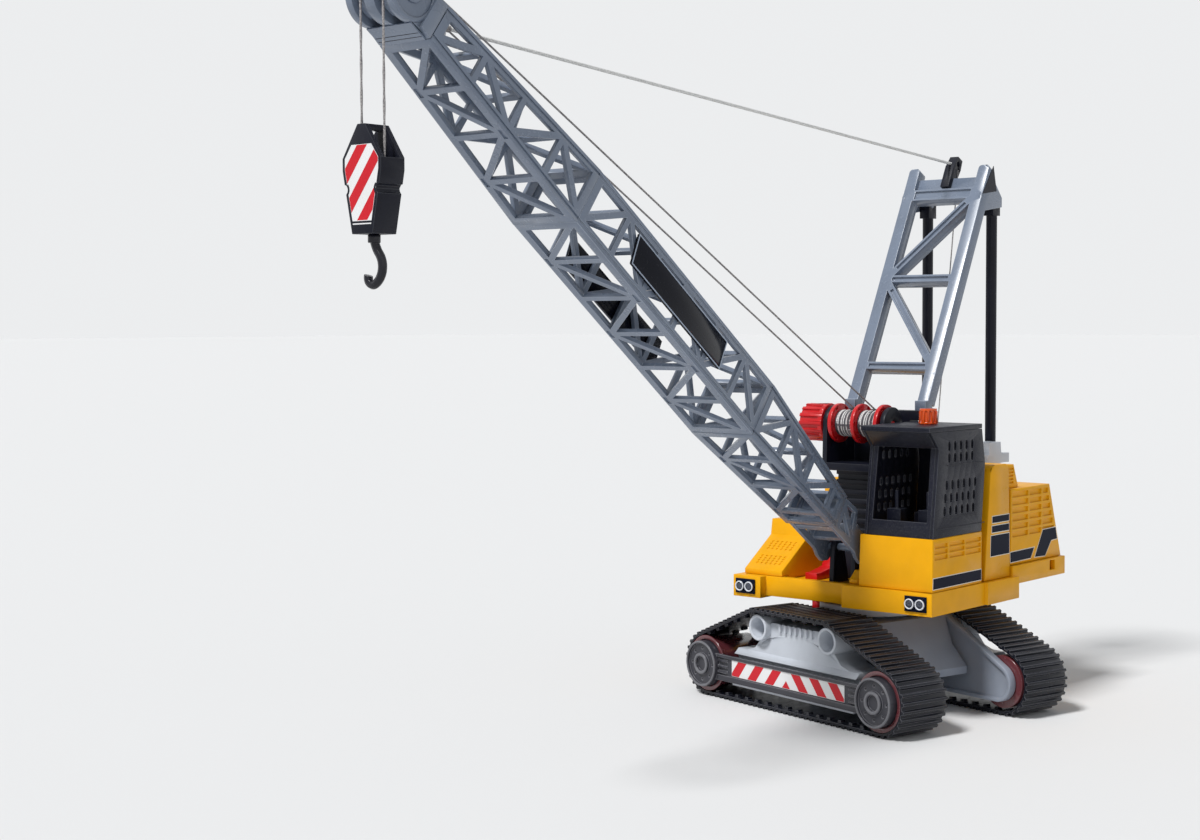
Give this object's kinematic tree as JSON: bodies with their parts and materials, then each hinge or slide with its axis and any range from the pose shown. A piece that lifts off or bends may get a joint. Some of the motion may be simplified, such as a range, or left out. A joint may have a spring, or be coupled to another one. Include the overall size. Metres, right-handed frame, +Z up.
{
  "type": "toy cable excavator",
  "caption": "Toy crawler cable excavator with slewing yellow upper, black cage cab, luffing lattice boom, braced gantry, red winch and a striped hook block on its cable",
  "frame": {"origin": "on the floor under the slew axis", "axes": "+X along the boom, +Y to the cab side, +Z up; the tracks point 76 degrees from +X at rest"},
  "size_m": [0.7107, 0.2938, 0.5232],
  "materials": {
    "yellow": "glossy moulded",
    "black": "fine texture",
    "light_grey": "satin moulded",
    "boom_grey": "satin moulded",
    "chassis_grey": "satin moulded",
    "track_rubber": "matt",
    "red": "glossy moulded",
    "rim_red": "satin moulded",
    "orange": "translucent moulded",
    "string": "braided string",
    "lamp": "printed plate",
    "sheave_dark": "satin"
  },
  "bodies": {
    "undercarriage": {"track_left": "track_rubber", "track_right": "track_rubber", "wheels": "rim_red", "casting_left": "light_grey", "casting_right": "light_grey", "side_bar_left": "black", "side_bar_right": "black", "chassis_body": "chassis_grey", "inner_frame_left": "chassis_grey", "inner_frame_right": "chassis_grey", "turntable": "chassis_grey"},
    "upper": {"deck": "yellow", "cab_pedestal": "yellow", "front_housing": "yellow", "side_wedge": "yellow", "cab_pillar": "yellow", "rear_hood": "yellow", "louvre_tower": "yellow", "lamp_plates": "lamp", "red_lever": "red", "red_peg": "red", "boom_brackets": "light_grey", "cab_left_wall": "black", "cab_right_wall": "black", "cab_rear_wall": "black", "cab_front_frame": "black", "cab_roof": "black", "beacon": "orange", "cab_seat": "sheave_dark", "control_levers": "sheave_dark", "winch_frame": "black", "gantry": "light_grey", "rope_guide": "black", "gantry_struts": "black", "strut_base": "light_grey"},
    "winch": {"winch_drum": "red", "wound_string": "string"},
    "boom": {"boom_lower": "boom_grey", "boom_middle": "boom_grey", "boom_upper": "boom_grey", "boom_foot": "light_grey", "boom_pin": "light_grey", "boom_head": "light_grey", "head_pin": "black", "sign_left": "black", "sign_right": "black", "pendant_knot": "string"},
    "head_sheaves": {"head_sheaves": "sheave_dark"},
    "falls": {"falls": "string"},
    "hook_block": {"hook_block": "black"},
    "block_sheave": {"block_sheave": "sheave_dark"},
    "hook": {"hook": "black"},
    "pendant_rear": {"pendant_rear": "string"},
    "pendant_rear_end": {"pendant_rear_end": "string"},
    "pendant_front": {"pendant_front": "string"},
    "pendant_front_end": {"pendant_front_end": "string"}
  },
  "joints": [
    {"name": "slew", "type": "hinge", "parent": "undercarriage", "child": "upper", "pos_m": [0, 0, 0.084], "axis": [0, 0, 1], "continuous": true},
    {"name": "luff", "type": "hinge", "parent": "upper", "child": "boom", "pos_m": [0.034, 0, 0.13], "axis": [0, -1, 0], "range_deg": [-17, 38]},
    {"name": "winch_turn", "type": "hinge", "parent": "upper", "child": "winch", "pos_m": [0.005, -0.005, 0.228], "axis": [0, 1, 0], "continuous": true},
    {"name": "sheave_turn", "type": "hinge", "parent": "boom", "child": "head_sheaves", "pos_m": [0.52795, 0, 0.50472], "axis": [0, 1, 0], "continuous": true},
    {"name": "falls_plumb", "type": "hinge", "parent": "boom", "child": "falls", "pos_m": [0.52795, 0, 0.50472], "axis": [0, -1, 0], "range_deg": [-38, 17]},
    {"name": "hoist", "type": "slide", "parent": "falls", "child": "hook_block", "axis": [0, 0, -1], "range_m": [-0.04, 0.15], "deforming": ["falls"]},
    {"name": "block_sheave_turn", "type": "hinge", "parent": "hook_block", "child": "block_sheave", "pos_m": [0.5432, 0, 0.404], "axis": [1, 0, 0], "continuous": true},
    {"name": "hook_swivel", "type": "hinge", "parent": "hook_block", "child": "hook", "pos_m": [0.5432, 0, 0.363], "axis": [0, 0, 1], "continuous": true},
    {"name": "pendant_rear_swing", "type": "hinge", "parent": "upper", "child": "pendant_rear", "pos_m": [-0.13184, 0, 0.44521], "axis": [0, -1, 0], "range_deg": [-16, 35.63]},
    {"name": "pendant_rear_haul", "type": "slide", "parent": "pendant_rear", "child": "pendant_rear_end", "axis": [0.9973, 0, 0.0729], "range_m": [-0.1103, 0.2453], "deforming": ["pendant_rear", "pendant_rear_end"]},
    {"name": "pendant_front_swing", "type": "hinge", "parent": "boom", "child": "pendant_front", "pos_m": [0.48262, 0, 0.4901], "axis": [0, -1, 0], "range_deg": [-10.47, 4.74]},
    {"name": "pendant_front_haul", "type": "slide", "parent": "pendant_front", "child": "pendant_front_end", "axis": [-0.9973, 0, -0.0729], "range_m": [-0.4678, 0.2098], "deforming": ["pendant_front", "pendant_front_end"]}
  ],
  "couplings": [
    {"joint": "falls_plumb", "follows": "luff", "ratio": -1},
    {"joint": "pendant_rear_swing", "follows": "luff", "ratio": 0.935},
    {"joint": "pendant_rear_haul", "follows": "luff", "m_per_rad": 0.3683},
    {"joint": "pendant_front_swing", "follows": "luff", "ratio": -0.273},
    {"joint": "pendant_front_haul", "follows": "luff", "m_per_rad": -0.7038}
  ]
}
